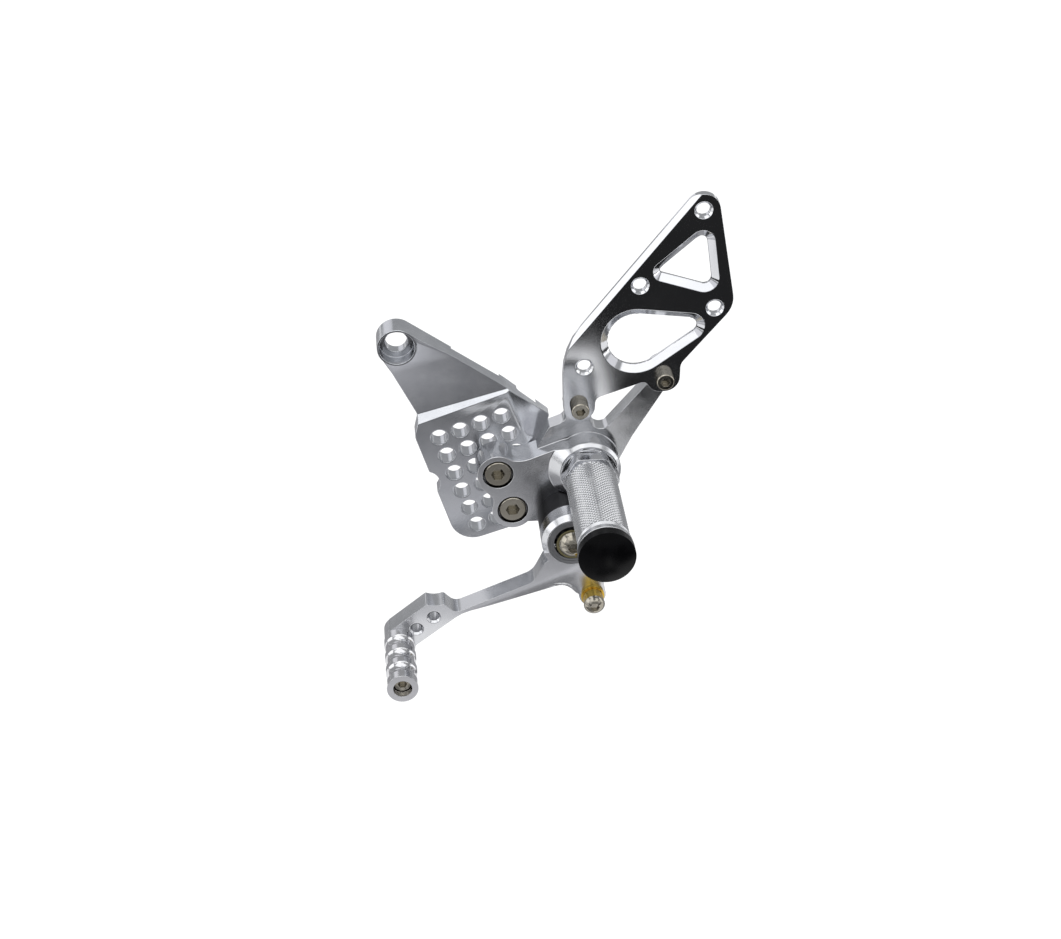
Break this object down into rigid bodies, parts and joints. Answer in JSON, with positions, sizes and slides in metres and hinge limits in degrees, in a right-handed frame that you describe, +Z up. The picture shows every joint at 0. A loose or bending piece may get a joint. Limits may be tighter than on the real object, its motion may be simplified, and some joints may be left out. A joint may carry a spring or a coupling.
{
  "type": "rear sets footrest",
  "caption": "Machined aluminium rear set for a motorbike: drilled frame plate, hanger, heel guard, knurled foot peg and shift lever with a toe peg.",
  "frame": {"origin": "on the axis of the frame eye, in the face of the plate that meets the motorbike's frame", "axes": "+Z up, -Y outwards from the motorbike towards the rider's foot, +X towards the heel guard"},
  "size_m": [0.171, 0.112, 0.2286],
  "materials": {
    "machined_aluminium": "satin silver anodised over fine milling, bright bevels",
    "polished_aluminium": "polished, mirror-like",
    "knurled_aluminium": "diamond knurl, silver anodised",
    "stainless_steel": "turned and lightly polished",
    "bearing_steel": "ground",
    "dark_anodised": "dark, semi-gloss",
    "black_plastic": "smooth, glossy dome",
    "brass": "turned"
  },
  "bodies": {
    "foot_rest": {"frame_plate": "machined_aluminium", "hanger_plate": "machined_aluminium", "heel_guard": "polished_aluminium", "peg_collar": "polished_aluminium", "peg_barrel": "knurled_aluminium", "peg_end_cap": "black_plastic", "peg_bolt": "stainless_steel", "hanger_screw_upper": "stainless_steel", "hanger_screw_lower": "stainless_steel", "guard_screw_front": "stainless_steel", "guard_screw_rear": "stainless_steel", "pivot_spacer": "dark_anodised", "bearing_inner_race": "bearing_steel", "pivot_washer": "stainless_steel", "pivot_screw": "stainless_steel"},
    "lever": {"shift_lever": "machined_aluminium", "bearing_outer_race": "bearing_steel", "bearing_balls": "bearing_steel", "bearing_shields": "bearing_steel", "toe_peg": "polished_aluminium", "toe_peg_screw": "stainless_steel", "linkage_bush": "brass", "linkage_screw": "stainless_steel", "linkage_nut": "stainless_steel"}
  },
  "joints": [
    {"name": "lever_pivot", "type": "hinge", "parent": "foot_rest", "child": "lever", "pos_m": [0.081, -0.047, -0.089], "axis": [0, -1, 0], "range_deg": [-12, 12]}
  ]
}
